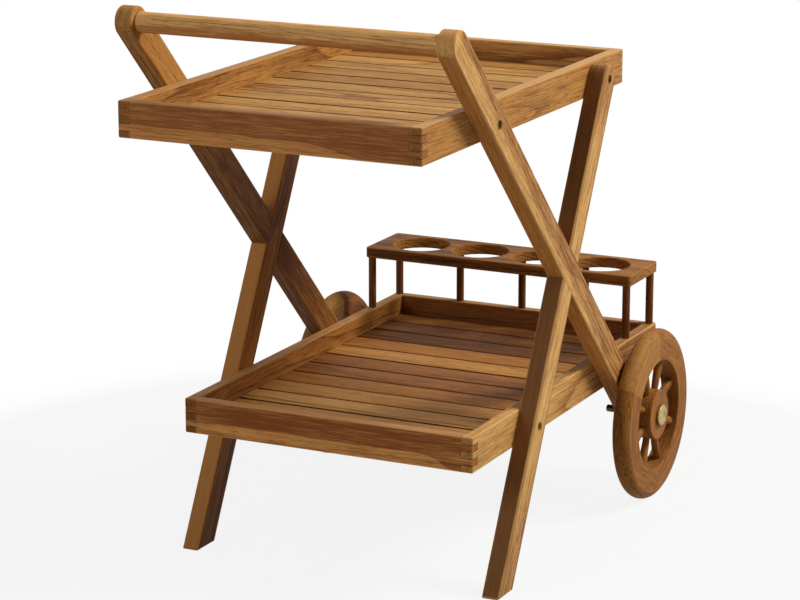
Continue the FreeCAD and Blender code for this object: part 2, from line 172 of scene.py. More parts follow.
# teak: growth rings round a pith beside the board, broad shading, fibres, pores and a darker band that is the board's
# own dark figure on some boards and painted shade on others
teakFigure = {
    "seedStep": (3.17, 1.71, 2.39),
    "patterns": {  # scale along and across the board, detail, roughness
        "sway": ((3.2, 12.0, 12.0), 2.0, 0.5),
        "wander": ((0.9, 3.0, 3.0), 1.0, 0.4),
        "broad": ((1.6, 15.0, 15.0), 2.0, 0.5),
        "streak": ((3.0, 75.0, 75.0), 3.0, 0.6),
        "thread": ((8.0, 240.0, 240.0), 2.0, 0.6),
        "fibre": ((18.0, 540.0, 540.0), 2.0, 0.6),
        "pore": ((45.0, 1000.0, 1000.0), 1.0, 0.5),
    },
    "poreRange": (0.58, 0.70),
    "wander": 3.2,  # slow bends of the rings, in shares of Figure
    "lateWood": {"fall": 4.5, "rise": 0.06, "tone": (1.1, 0.05)},  # dark line of each ring
    "ground": 0.2,
    "late": 1.7,
    "withContrast": {"broad": 1.5, "streak": 0.6},
    "fine": {"thread": 0.75, "fibre": 1.8},
    "pores": 0.6,
    "ragged": {"sway": 0.016, "streak": 0.010},  # metres that the heart's edge wanders
    "roughness": {"base": 0.46, "fibre": 0.2, "pores": 0.15},
    "relief": {"fibre": 0.5, "pores": -0.8, "late": 0.25},
}


def makeTeakGrain(figure):
    tree, given, result = newGroup("teakGrain", [
        ("Vector", "Vector", None), ("Seed", "Float", 0.0), ("Ring Gap", "Float", 0.006),
        ("Pith Side", "Float", 0.05), ("Pith Depth", "Float", 0.09), ("Figure", "Float", 0.012),
        ("Contrast", "Float", 0.6), ("Light", "Color", None), ("Dark", "Color", None),
        ("Heart Way", "Vector", (0.0, 0.0, 0.0)), ("Heart Place", "Float", 0.0),
        ("Heart Depth", "Float", 0.0), ("Heart Soft", "Float", 0.0012), ("Heart Rough", "Float", 1.0),
        ("Heart Bend", "Float", 0.0), ("Bend Start", "Float", 0.0),
    ], [("Color", "Color"), ("Roughness", "Float"), ("Height", "Float")])
    vector, seed, contrast = given["Vector"], given["Seed"], given["Contrast"]
    shift = join(tree, *(times(tree, seed, step) for step in figure["seedStep"]))
    along, side, depth = split(tree, vector)
    pattern = {}
    for name, (scale, detail, roughness) in figure["patterns"].items():
        pattern[name] = noise(tree, stretch(tree, vector, scale, shift), detail, roughness)
    pores = ease(tree, pattern["pore"], *figure["poreRange"])

    def centred(name):
        return minus(tree, pattern[name], 0.5)

    # rings, swaying along the board
    swayed = times(tree, centred("sway"), given["Figure"])
    wandered = times(tree, centred("wander"), times(tree, given["Figure"], figure["wander"]))
    fromPith = distance(tree, minus(tree, side, given["Pith Side"]), minus(tree, depth, given["Pith Depth"]))
    radius = plus(tree, plus(tree, fromPith, swayed), wandered)
    turns = calc(tree, "DIVIDE", radius, given["Ring Gap"])
    phase = calc(tree, "FRACT", turns)
    ringTone = addNode(tree, "ShaderNodeTexWhiteNoise", noise_dimensions="2D")
    feed(tree, ringTone.inputs["Vector"], join(tree, calc(tree, "FLOOR", turns), seed, 0.0))
    lateWood = figure["lateWood"]
    late = calc(tree, "POWER", minus(tree, 1.0, phase), lateWood["fall"])
    late = times(tree, late, ease(tree, phase, 0.0, lateWood["rise"]))
    late = times(tree, late, calc(tree, "MULTIPLY_ADD", ringTone.outputs["Value"], *lateWood["tone"]))

    darkness = calc(tree, "MULTIPLY_ADD", late, times(tree, contrast, figure["late"]), figure["ground"])
    for name, weight in figure["withContrast"].items():
        darkness = calc(tree, "MULTIPLY_ADD", centred(name), times(tree, contrast, weight), darkness)
    for name, weight in figure["fine"].items():
        darkness = calc(tree, "MULTIPLY_ADD", centred(name), weight, darkness)
    darkness = calc(tree, "MULTIPLY_ADD", pores, figure["pores"], darkness)

    # a darker band, the board's own dark figure on some boards and painted shade on the legs and the handle, with a
    # ragged edge that can bend along the board
    toHeartAndShade = addNode(tree, "ShaderNodeVectorMath", operation="DOT_PRODUCT")
    feed(tree, toHeartAndShade.inputs[0], vector)
    feed(tree, toHeartAndShade.inputs[1], given["Heart Way"])
    past = calc(tree, "MAXIMUM", minus(tree, along, given["Bend Start"]), 0.0)
    bent = times(tree, past, past)
    within = calc(tree, "MULTIPLY_ADD", bent, given["Heart Bend"], toHeartAndShade.outputs["Value"])
    ragged = times(tree, centred("sway"), figure["ragged"]["sway"])
    ragged = calc(tree, "MULTIPLY_ADD", centred("streak"), figure["ragged"]["streak"], ragged)
    within = calc(tree, "MULTIPLY_ADD", ragged, given["Heart Rough"], within)
    within = minus(tree, within, given["Heart Place"])
    heartAndShade = ease(tree, within, times(tree, given["Heart Soft"], -1.0), given["Heart Soft"])
    darkness = calc(tree, "MULTIPLY_ADD", heartAndShade, given["Heart Depth"], darkness)
    clamp = addNode(tree, "ShaderNodeClamp")
    feed(tree, clamp.inputs[0], darkness)
    feed(tree, result["Color"], mixColor(tree, clamp.outputs[0], given["Light"], given["Dark"]))

    dull, relief = figure["roughness"], figure["relief"]
    rough = calc(tree, "MULTIPLY_ADD", pattern["fibre"], dull["fibre"], dull["base"])
    feed(tree, result["Roughness"], calc(tree, "MULTIPLY_ADD", pores, dull["pores"], rough))
    height = calc(tree, "MULTIPLY_ADD", pattern["fibre"], relief["fibre"], times(tree, pores, relief["pores"]))
    feed(tree, result["Height"], calc(tree, "MULTIPLY_ADD", late, relief["late"], height))
    return tree


# worn edges, end grain and sides of a squared board, from its half sizes; the edges are lightened partly as worn wood
# and partly as painted highlight, the sides take painted shade or painted sheen
edgeRubAndHighlight = {
    "patchScale": (22.0, 60.0, 60.0), "patchReach": (1.6, 0.2), "fullShare": 0.3,
    "faceStart": 0.0003,  # a face counts as reached this far inside the board
}


def makeBoardEdges(rubAndHighlight):
    tree, given, result = newGroup("boardEdges", [
        ("Vector", "Vector", None), ("Half Length", "Float", 0.3), ("Half Width", "Float", 0.02),
        ("Half Thickness", "Float", 0.01), ("Reach", "Float", 0.003), ("End Reach", "Float", 0.0016),
        ("Side Reach", "Float", 0.0014), ("Seed", "Float", 0.0),
    ], [("Edge", "Float"), ("End", "Float"), ("Side", "Float")])
    gaps = []
    for place, label in zip(split(tree, given["Vector"]), ("Half Length", "Half Width", "Half Thickness")):
        gaps.append(minus(tree, given[label], calc(tree, "ABSOLUTE", place)))
    fromEnd, fromSide, fromFace = gaps
    nearer = calc(tree, "MINIMUM", fromEnd, fromSide)
    further = calc(tree, "MAXIMUM", fromEnd, fromSide)
    second = calc(tree, "MAXIMUM", nearer, calc(tree, "MINIMUM", further, fromFace))
    moved = join(tree, given["Seed"], 0.0, 0.0)
    patchy = noise(tree, stretch(tree, given["Vector"], rubAndHighlight["patchScale"], moved), 2.0, 0.6)
    reach = times(tree, given["Reach"], calc(tree, "MULTIPLY_ADD", patchy, *rubAndHighlight["patchReach"]))
    share = calc(tree, "DIVIDE", second, reach)
    feed(tree, result["Edge"], ease(tree, share, rubAndHighlight["fullShare"], 1.0, 1.0, 0.0))
    feed(tree, result["End"], ease(tree, fromEnd, rubAndHighlight["faceStart"], given["End Reach"], 1.0, 0.0))
    feed(tree, result["Side"], ease(tree, fromSide, rubAndHighlight["faceStart"], given["Side Reach"], 1.0, 0.0))
    return tree


# wheel parts: turns each sector of the wheel into the frame of its own piece

def makeWheelSectors():
    tree, given, result = newGroup("wheelSectors", [
        ("Vector", "Vector", None), ("Count", "Float", 6.0), ("Start", "Float", 0.0),
    ], [("Vector", "Vector"), ("Number", "Float"), ("Seam", "Float"), ("Radius", "Float")])
    x, y, z = split(tree, given["Vector"])
    sector = calc(tree, "DIVIDE", 2 * math.pi, given["Count"])
    turns = calc(tree, "DIVIDE", minus(tree, calc(tree, "ARCTAN2", z, y), given["Start"]), sector)
    number = calc(tree, "FLOOR", turns)
    middle = calc(tree, "MULTIPLY_ADD", plus(tree, number, 0.5), sector, given["Start"])
    c, s = calc(tree, "COSINE", middle), calc(tree, "SINE", middle)
    outward = plus(tree, times(tree, y, c), times(tree, z, s))
    onward = minus(tree, times(tree, z, c), times(tree, y, s))
    feed(tree, result["Vector"], join(tree, onward, outward, x))
    feed(tree, result["Number"], calc(tree, "FLOORED_MODULO", number, given["Count"]))
    share = minus(tree, 0.5, apart(tree, calc(tree, "FRACT", turns), 0.5))
    radius = distance(tree, y, z)
    feed(tree, result["Seam"], times(tree, times(tree, share, sector), radius))
    feed(tree, result["Radius"], radius)
    return tree


# glue lines of the trays' finger joints: side rails own the odd rows, end rails the even ones
glueLines = {"shakeScale": (230.0, 230.0, 230.0), "shake": (3.2, -0.9), "middleRow": 2.5, "rowReach": 2.2}


def makeFingerLines(glue):
    tree, given, result = newGroup("fingerLines", [
        ("Vector", "Vector", None), ("Half Width", "Float", 0.244), ("Half Length", "Float", 0.374),
        ("Rail", "Float", 0.019), ("Finger", "Float", 0.011), ("Line", "Float", 0.0007),
    ], [("Mask", "Float")])
    x, y, z = split(tree, given["Vector"])
    inX = minus(tree, given["Half Width"], calc(tree, "ABSOLUTE", x))
    inY = minus(tree, given["Half Length"], calc(tree, "ABSOLUTE", y))
    shake = noise(tree, stretch(tree, given["Vector"], glue["shakeScale"]), 2.0, 0.6)
    line = times(tree, given["Line"], calc(tree, "MULTIPLY_ADD", shake, *glue["shake"]))
    steps = calc(tree, "DIVIDE", z, given["Finger"])
    stepGap = times(tree, apart(tree, steps, calc(tree, "ROUND", steps)), given["Finger"])
    between = calc(tree, "LESS_THAN", apart(tree, steps, glue["middleRow"]), glue["rowReach"])
    level = times(tree, calc(tree, "LESS_THAN", stepGap, line), between)
    deepest = calc(tree, "MAXIMUM", inX, inY)
    atCorner = calc(tree, "LESS_THAN", deepest, plus(tree, given["Rail"], line))
    evenRow = calc(tree, "GREATER_THAN", calc(tree, "FLOORED_MODULO", steps, 2.0), 1.0)
    fromEnd = calc(tree, "MULTIPLY_ADD", evenRow, minus(tree, inY, inX), inX)
    shoulder = calc(tree, "LESS_THAN", apart(tree, fromEnd, given["Rail"]), line)
    feed(tree, result["Mask"], times(tree, calc(tree, "MAXIMUM", level, shoulder), atCorner))
    return tree


teakGrain = makeTeakGrain(teakFigure)
boardEdges = makeBoardEdges(edgeRubAndHighlight)
wheelSectors = makeWheelSectors()
fingerLines = makeFingerLines(glueLines)
print("shader groups made")


# tones of the sawn boards, light and dark part, from pale to deep brown
tones = {
    "straw": (tint("ffc880"), tint("bc7c42")),
    "pale": (tint("d9a863"), tint("8c5729")),
    "gold": (tint("d09d56"), tint("7c481e")),
    "blond": (tint("deae68"), tint("7c421a")),
    "russet": (tint("dc9956"), tint("94582e")),
    "apricot": (tint("e2a05a"), tint("8c4e24")),
    "wheat": (tint("c99652"), tint("74451f")),
    "honey": (tint("c08947"), tint("693b18")),
    "tan": (tint("ae7336"), tint("582e11")),
    "chestnut": (tint("a66d31"), tint("502c11")),
    "brown": (tint("976030"), tint("44230e")),
    "umber": (tint("7c4b20"), tint("361a08")),
}
# dark of glue lines and rim seams, and the default colour of painted shade on side faces
jointAndShadeDark = tint("2c190b")
glueShare = 0.8
seedGap = 3.7  # between neighbouring slats, segments or spokes


def newMaterial(name):
    material = bpy.data.materials.new(name)
    material.use_nodes = True
    return material


def finishMaterial(material, color, roughness, height, strength=0.25, depth=0.0006, shine=0.1):
    tree = material.node_tree
    shader = tree.nodes["Principled BSDF"]
    feed(tree, shader.inputs["Base Color"], color)
    feed(tree, shader.inputs["Roughness"], roughness)
    bump = addNode(tree, "ShaderNodeBump")
    bump.inputs["Strength"].default_value = strength
    bump.inputs["Distance"].default_value = depth
    feed(tree, bump.inputs["Height"], height)
    feed(tree, shader.inputs["Normal"], bump.outputs["Normal"])
    shader.inputs["Specular IOR Level"].default_value = shine


def dress(node, material):
    cadNodes[node].data.materials.clear()
    cadNodes[node].data.materials.append(material)


def objectPlace(tree, turn=Matrix.Identity(3), centre=Vector()):
    mapping = addNode(tree, "ShaderNodeMapping", vector_type="POINT")
    feed(tree, mapping.inputs["Vector"], addNode(tree, "ShaderNodeTexCoord").outputs["Object"])
    mapping.inputs["Rotation"].default_value = turn.to_euler("XYZ")
    mapping.inputs["Location"].default_value = -(turn @ centre)
    return mapping.outputs["Vector"]


# end grain is darkened as its own colour, or lightened with endColor as painted light on round heads; sideShade paints
# shade or a pale sheen on the side faces; edgeLift lightens edges partly as worn wood and partly as painted highlight
def squaredTeak(tree, vector, seed, tone, halfSize, grain, edgeLift=0.55,
                endShade=0.7, endColor=None, endReach=0.0016,
                sideShade=0.0, sideColor=jointAndShadeDark, sideReach=0.0014):
    light, dark = tone
    wood = useGroup(tree, teakGrain, Vector=vector, Seed=seed, Light=light, Dark=dark, **grain)
    edges = useGroup(tree, boardEdges, **{
        "Vector": vector, "Half Length": halfSize[0], "Half Width": halfSize[1], "Half Thickness": halfSize[2],
        "End Reach": endReach, "Side Reach": sideReach, "Seed": seed,
    })
    color = paint(tree, wood["Color"], edges["End"], endShade, endColor or dark)
    if sideShade > 0:
        color = paint(tree, color, edges["Side"], sideShade, sideColor)
    if edgeLift > 0:
        color = paint(tree, color, edges["Edge"], edgeLift, light)
    return color, wood["Roughness"], wood["Height"]


def grainOf(dice, **changes):
    values = {
        "Ring Gap": dice.uniform(0.006, 0.010),
        "Pith Side": dice.uniform(-0.04, 0.04),
        "Pith Depth": dice.choice((-1, 1)) * dice.uniform(0.05, 0.11),
        "Figure": dice.uniform(0.010, 0.020),
        "Contrast": 0.55,
    }
    values.update({key.replace("_", " "): value for key, value in changes.items()})
    return values


# the bored walls show end-grain rings in a paler tone, painted light on walls that lie in shade
def boredWalls(tree, color, vector, seed, dark, bores):
    pitch, radius = bores["pitch"], bores["radius"]
    x, y = split(tree, vector)[:2]
    beside = minus(tree, calc(tree, "FLOORED_MODULO", x, pitch), pitch / 2)
    wall = ease(tree, distance(tree, beside, y), radius, radius + bores["soft"], bores["share"], 0.0)
    among = calc(tree, "LESS_THAN", calc(tree, "ABSOLUTE", x), pitch * bores["count"] / 2)
    light = tones[bores["tone"]][0]
    cut = useGroup(tree, teakGrain, Vector=vector, Seed=seed, Light=light, Dark=dark, **bores["grain"])
    return paint(tree, color, wall, among, cut["Color"])


def teakBoard(node, grain, side, tone, centre=None, halfSize=None, tray=None, bores=None, wear=None, **changes):
    material = newMaterial("teak_" + node)
    tree = material.node_tree
    low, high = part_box(node)
    g, s = Vector(grain).normalized(), Vector(side).normalized()
    turn = Matrix((g, s, g.cross(s)))
    vector = objectPlace(tree, turn, centre or (low + high) / 2)
    if halfSize is None:
        halfSize = [abs(v) for v in turn @ ((high - low) / 2)]
    dice = random.Random(node)
    seed = dice.uniform(1.0, 40.0)
    grain = grainOf(dice, **changes)
    color, roughness, height = squaredTeak(tree, vector, seed, tones[tone], halfSize, grain, **(wear or {}))
    if tray is not None:
        lines = useGroup(tree, fingerLines, Vector=objectPlace(tree, centre=tray))
        color = paint(tree, color, lines["Mask"], glueShare, jointAndShadeDark)
    if bores is not None:
        color = boredWalls(tree, color, vector, seed, tones[tone][1], bores)
    finishMaterial(material, color, roughness, height)
    dress(node, material)


# tray rails; the darker band is the dark part of a board: the way to it, its place, depth and softness; the rail tops
# carry a painted sheen
rails = {
    # endShade darkens the end grain; sideShade with the pale sideColor paints a sheen, a painted highlight, on the top
    # and bottom faces
    "wear": {"endShade": 0.45, "sideShade": 0.3, "sideColor": tint("d9ae78"), "sideReach": 0.002},
    "paintedSheenTops": {"upper_front": 0.35, "upper_right": 0.6, "lower_front": 0.35, "lower_right": 0.0},
    "ledgerTone": "brown",
    "boards": {
        "upper_front": {
            "tone": "russet", "Contrast": 0.35, "Heart_Way": (0.0, 1.0, 0.0), "Heart_Place": -0.0075,
            "Heart_Depth": 0.6, "Heart_Soft": 0.0008, "Heart_Rough": 0.4, "Heart_Bend": 1.3, "Bend_Start": 0.03,
        },
        "upper_rear": {"tone": "pale"},
        "upper_right": {"tone": "honey", "Contrast": 0.4},
        "upper_left": {"tone": "honey", "Contrast": 0.4},
        "lower_front": {
            "tone": "apricot", "Contrast": 0.4, "Heart_Way": (0.0, 1.0, 0.0), "Heart_Place": -0.0088,
            "Heart_Depth": 0.6, "Heart_Soft": 0.0015, "Heart_Bend": 4.0, "Bend_Start": 0.14,
        },
        "lower_rear": {"tone": "brown"},
        "lower_right": {
            "tone": "pale", "Contrast": 0.35, "Heart_Way": (1.0, 0.0, 0.0), "Heart_Place": 0.0,
            "Heart_Depth": 0.55, "Heart_Soft": 0.12,
        },
        "lower_left": {"tone": "tan", "Contrast": 0.4},
    },
}
for name, look in rails["boards"].items():
    tray, place = name.split("_")
    low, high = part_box(f"{tray}_right_rail")
    trayFoot = Vector((0.0, (low.y + high.y) / 2, low.z))
    grain = (1, 0, 0) if place in ("front", "rear") else (0, 1, 0)
    wear = dict(rails["wear"])
    wear["sideShade"] = rails["paintedSheenTops"].get(name, wear["sideShade"])
    teakBoard(f"{name}_rail", grain, (0, 0, 1), tray=trayFoot, wear=wear, **look)
for name in ("upper_right", "upper_left", "lower_right", "lower_left"):
    teakBoard(f"{name}_ledger", (0, 1, 0), (0, 0, 1), rails["ledgerTone"])
print("rails dressed")


# tray floors: rows of slats, a little uneven in length, height and angle, from front to back
slatRows = {
    "edge": 0.0013, "edgeSteps": 4,
    "lengthPlay": 0.0016, "heightPlay": 0.0003, "yawPlay": 0.0012,
    "seeds": {"upper": 4, "lower": 9},
    "upper": [
        "gold", "pale", "wheat", "gold", "gold", "gold", "wheat", "honey", "honey", "wheat", "gold", "honey",
    ],
    # the lower tray's tones darken towards the back, partly the boards' own tone and partly painted shade under the
    # upper tray and the rack
    "lower": [
        "honey", "honey", "wheat", "honey", "chestnut", "brown", "brown", "honey", "tan", "umber", "umber", "brown",
    ],
    "grain": {"Ring Gap": 0.009, "Pith Side": 0.01, "Pith Depth": 0.10, "Figure": 0.02, "Contrast": 0.5},
    # painted shade: the slats' side faces are darkened so that the gaps between them look dark
    "wear": {"edgeLift": 0.0, "sideShade": 0.95, "sideColor": tint("50290e")},
}


def newTree(name, inputs):
    tree = bpy.data.node_groups.new(name, "GeometryNodeTree")
    for label, kind in inputs:
        tree.interface.new_socket(name=label, in_out="INPUT", socket_type="NodeSocket" + kind)
    tree.interface.new_socket(name="Geometry", in_out="OUTPUT", socket_type="NodeSocketGeometry")
    return tree, addNode(tree, "NodeGroupInput").outputs, addNode(tree, "NodeGroupOutput").inputs["Geometry"]


def plainMesh(name, tree, values):
    thing = bpy.data.objects.new(name, bpy.data.meshes.new(name))
    bpy.context.scene.collection.objects.link(thing)
    modifier = thing.modifiers.new("shape", "NODES")
    modifier.node_group = tree
    for item in tree.interface.items_tree:
        if item.item_type == "SOCKET" and item.in_out == "INPUT":
            modifier[item.identifier] = values[item.name]
    mesh = bpy.data.meshes.new_from_object(thing.evaluated_get(bpy.context.evaluated_depsgraph_get()))
    thing.modifiers.clear()
    thing.data = mesh
    mesh.name = name
    return thing


def chance(tree, low, high, seed):
    node = addNode(tree, "FunctionNodeRandomValue", data_type="FLOAT")
    feed(tree, node.inputs[2], low)
    feed(tree, node.inputs[3], high)
    feed(tree, node.inputs["Seed"], seed)
    return node.outputs[1]


def eitherWay(tree, play, seed):
    return chance(tree, times(tree, play, -1.0), play, seed)


def shapeNode(tree, kind, inputs, **settings):
    node = addNode(tree, kind, **settings)
    for label, value in inputs.items():
        feed(tree, node.inputs[label], value)
    return node.outputs[0]


def makeSlatRow():
    tree, given, result = newTree("slatRow", [
        ("Count", "Int"), ("Start", "Vector"), ("Pitch", "Float"),
        ("Length", "Float"), ("Width", "Float"), ("Thickness", "Float"), ("Edge", "Float"), ("Edge Steps", "Int"),
        ("Length Play", "Float"), ("Height Play", "Float"), ("Yaw Play", "Float"),
        ("Seed", "Int"), ("Material", "Material"),
    ])
    outline = shapeNode(tree, "GeometryNodeCurvePrimitiveQuadrilateral", {
        "Width": given["Width"], "Height": given["Thickness"],
    })
    softened = shapeNode(tree, "GeometryNodeFilletCurve", {
        "Curve": outline, "Count": given["Edge Steps"], "Radius": given["Edge"],
    }, mode="POLY")
    path = shapeNode(tree, "GeometryNodeCurvePrimitiveLine", {
        "Start": join(tree, times(tree, given["Length"], -0.5), 0.0, 0.0),
        "End": join(tree, times(tree, given["Length"], 0.5), 0.0, 0.0),
    })
    level = shapeNode(tree, "GeometryNodeSetCurveNormal", {"Curve": path}, mode="Z_UP")
    slat = shapeNode(tree, "GeometryNodeCurveToMesh", {
        "Curve": level, "Profile Curve": softened, "Fill Caps": True,
    })
    placed = shapeNode(tree, "GeometryNodeStoreNamedAttribute", {
        "Geometry": slat, "Name": "boardPlace", "Value": shapeNode(tree, "GeometryNodeInputPosition", {}),
    }, data_type="FLOAT_VECTOR", domain="POINT")

    # the row, each slat a little off in height, angle and length
    row = shapeNode(tree, "GeometryNodeMeshLine", {
        "Count": given["Count"], "Start Location": given["Start"], "Offset": join(tree, 0.0, given["Pitch"], 0.0),
    }, mode="OFFSET")
    drop = eitherWay(tree, given["Height Play"], given["Seed"])
    uneven = shapeNode(tree, "GeometryNodeSetPosition", {"Geometry": row, "Offset": join(tree, 0.0, 0.0, drop)})
    yaw = eitherWay(tree, given["Yaw Play"], plus(tree, given["Seed"], 1.0))
    most = calc(tree, "DIVIDE", given["Length Play"], given["Length"])
    shorter = chance(tree, 0.0, most, plus(tree, given["Seed"], 2.0))
    instances = shapeNode(tree, "GeometryNodeInstanceOnPoints", {
        "Points": uneven, "Instance": placed, "Rotation": join(tree, 0.0, 0.0, yaw),
        "Scale": join(tree, minus(tree, 1.0, shorter), 1.0, 1.0),
    })
    numbered = shapeNode(tree, "GeometryNodeStoreNamedAttribute", {
        "Geometry": instances, "Name": "boardNumber", "Value": shapeNode(tree, "GeometryNodeInputIndex", {}),
    }, data_type="FLOAT", domain="INSTANCE")
    real = shapeNode(tree, "GeometryNodeRealizeInstances", {"Geometry": numbered})
    colored = shapeNode(tree, "GeometryNodeSetMaterial", {"Geometry": real, "Material": given["Material"]})
    feed(tree, result, colored)
    return tree


def toneSteps(tree, number, colors):
    ramp = addNode(tree, "ShaderNodeValToRGB")
    ramp.color_ramp.interpolation = "CONSTANT"
    stops = ramp.color_ramp.elements
    while len(stops) < len(colors):
        stops.new(0.0)
    for step, color in enumerate(colors):
        stops[step].position = step / len(colors)
        stops[step].color = color
    feed(tree, ramp.inputs[0], calc(tree, "DIVIDE", plus(tree, number, 0.5), float(len(colors))))
    return ramp.outputs["Color"]


def slatMaterial(name, seed, boards, size):
    material = newMaterial(name)
    tree = material.node_tree
    place = addNode(tree, "ShaderNodeAttribute", attribute_name="boardPlace").outputs["Vector"]
    number = addNode(tree, "ShaderNodeAttribute", attribute_name="boardNumber").outputs["Fac"]
    seed = calc(tree, "MULTIPLY_ADD", number, seedGap, float(seed))
    tone = [toneSteps(tree, number, [tones[board][part] for board in boards]) for part in (0, 1)]
    halfSize = [v / 2 for v in size]
    finishMaterial(material, *squaredTeak(
        tree, place, seed, tone, halfSize, slatRows["grain"], **slatRows["wear"],
    ))
    return material


slatRow = makeSlatRow()
for tray in ("upper", "lower"):
    nodes = [f"{tray}_slat_{number:02d}" for number in range(1, 13)]
    boxes = sorted((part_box(node) for node in nodes), key=lambda box: box[0].y)
    low, high = boxes[0]
    length, width, thickness = high - low
    seed = slatRows["seeds"][tray]
    floor = plainMesh(f"{tray}_slats", slatRow, {
        "Count": len(nodes), "Start": (low + high) / 2, "Pitch": boxes[1][0].y - low.y,
        "Length": length, "Width": width, "Thickness": thickness,
        "Edge": slatRows["edge"], "Edge Steps": slatRows["edgeSteps"],
        "Length Play": slatRows["lengthPlay"], "Height Play": slatRows["heightPlay"],
        "Yaw Play": slatRows["yawPlay"], "Seed": seed,
        "Material": slatMaterial(f"teak_{tray}_slats", seed, slatRows[tray], high - low),
    })
    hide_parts(*nodes)
    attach(floor, "frame")
print("tray floors made")


# legs lean in the plane of the trolley's sides; side colours paint shade or light on their front faces, the round heads
# of the handle legs are painted paler as painted light, and the darker band darkens them as painted shade towards the
# foot and under the upper tray
legs = {
    "lean": {"handle_leg": 45.0, "stand_leg": -27.9},
    "crossing": (0.012, 0.45),
    "halfSize": {"handle_leg": (0.5295, 0.02325, 0.0145), "stand_leg": (0.435, 0.02325, 0.0145)},
    "all": {"Contrast": 0.45, "Ring_Gap": 0.012, "wear": {"endShade": 0.3}},
    # painted shade on the front face, which faces down, and painted light on the round head; the band is paler near the
    # front and the top, darker towards the rear and the foot
    "right_handle_leg": {
        "tone": "blond", "Contrast": 0.34, "Heart_Way": (-1.0, -30.0, 0.0), "Heart_Place": -0.25,
        "Heart_Depth": 0.45, "Heart_Soft": 0.2,
        "wear": {
            "sideShade": 0.6, "sideColor": tint("b06624"),
            "endShade": 0.5, "endColor": tint("ffb870"), "endReach": 0.022,
        },
    },
    # painted shade: a dark front face reaching onto the side face, and the band darkens the leg towards the foot and at
    # the top end under the upper tray
    "right_stand_leg": {
        "tone": "blond", "Contrast": 0.38, "Heart_Way": (-1.0, 0.0, 0.0), "Heart_Place": 0.3,
        "Heart_Depth": 0.32, "Heart_Soft": 0.15, "Heart_Bend": 12.0, "Bend_Start": 0.1,
        "wear": {"sideShade": 0.9, "sideColor": tint("7c4f28"), "sideReach": 0.009, "endShade": 0.3},
    },
    # painted shadow: the band darkens the leg below the upper tray; painted light on the round head
    "left_handle_leg": {
        "tone": "honey", "Heart_Way": (-1.0, 0.0, 0.0), "Heart_Place": -0.3,
        "Heart_Depth": 0.55, "Heart_Soft": 0.05,
        "wear": {"endShade": 0.15, "endColor": tint("ffb870"), "endReach": 0.022},
    },
    # painted light on the front face of a darker leg whose inner face is in shade; painted shade: the band darkens the
    # foot
    "left_stand_leg": {
        "tone": "tan", "Heart_Way": (-1.0, 0.0, 0.0), "Heart_Place": 0.22,
        "Heart_Depth": 0.25, "Heart_Soft": 0.12,
        "wear": {"sideShade": 0.7, "sideColor": tint("d08f4d"), "endShade": 0.3},
    },
}
for side in ("right", "left"):
    for kind in ("handle_leg", "stand_leg"):
        lean = math.radians(legs["lean"][kind])
        along, front = (0, -math.sin(lean), math.cos(lean)), (0, -math.cos(lean), -math.sin(lean))
        low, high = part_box(f"{side}_{kind}")
        centre = (low + high) / 2
        crossY, crossZ = legs["crossing"]
        centre.y = crossY - (centre.z - crossZ) * math.tan(lean)
        look = {**legs["all"], **legs[f"{side}_{kind}"]}
        teakBoard(f"{side}_{kind}", along, front, centre=centre, halfSize=legs["halfSize"][kind], **look)
print("legs dressed")

# handle; its darker band is painted shade on the underside
handle = {
    "tone": "straw", "Pith_Depth": 0.020, "Pith_Side": 0.006, "Ring_Gap": 0.0045, "Figure": 0.016, "Contrast": 0.4,
    "Heart_Way": (0.0, 0.0, -1.0), "Heart_Place": 0.003, "Heart_Depth": 0.65, "Heart_Soft": 0.009,
    "Heart_Rough": 0.3, "wear": {"edgeLift": 0.0},
}
teakBoard("handle", (1, 0, 0), (0, 1, 0), **handle)

# bottle rack, whose bored walls show the rings and are painted paler as painted light, with a faint painted shade on
# its front and rear faces, and its posts
rack = {
    "board": {
        "tone": "chestnut", "Pith_Depth": -0.11, "Heart_Way": (-1.0, -0.3, 0.0), "Heart_Place": -0.05,
        "Heart_Depth": 0.4, "Heart_Soft": 0.12, "wear": {"sideShade": 0.08, "endShade": 0.0},
    },
    "bores": {
        "count": 4, "pitch": 0.111, "radius": 0.0492, "soft": 0.001, "share": 0.85, "tone": "tan",
        "grain": {"Ring Gap": 0.006, "Pith Side": 0.02, "Pith Depth": -0.03, "Figure": 0.014, "Contrast": 0.75},
    },
    "posts": {"tone": "umber", "Contrast": 0.35, "wear": {"edgeLift": 0.0}},
}
teakBoard("bottle_rack", (1, 0, 0), (0, 1, 0), bores=rack["bores"], **rack["board"])
for place in ("front", "rear"):
    teakBoard(f"rack_{place}_posts", (0, 0, 1), (1, 0, 0), **rack["posts"])
print("handle and rack dressed")


# wheels: sawn rim segments with their own grain, radial spokes, a turned hub
wheels = {
    # painted shade: the left wheel has a darker tone than the right one
    "tone": {"right": "chestnut", "left": "brown"},
    "segments": 6, "segmentStart": math.radians(30), "spokes": 8,
    "pithSide": {"rim": 0.05, "spokes": 0.02},
    "grain": {"Ring_Gap": 0.009, "Pith_Depth": 0.06, "Contrast": 0.22},
    "shine": 0.08,
    "segmentShade": 0.2,
    "endGrain": {  # one segment of each rim shows its end grain
        "segment": 1.0, "lift": 0.3, "lines": 0.22, "scale": (450.0, 30.0, 20.0), "range": (0.48, 0.62),
    },
    "seam": {"width": 0.0004, "share": 0.35},
    # painted highlight: a pale line along the shoulder where the tread meets the face
    "shoulder": {"radius": 0.1277, "start": 0.0003, "width": 0.0012, "lift": 0.3},
    "hub": {"tone": "chestnut", "Contrast": 0.25, "wear": {"edgeLift": 0.0}},
}


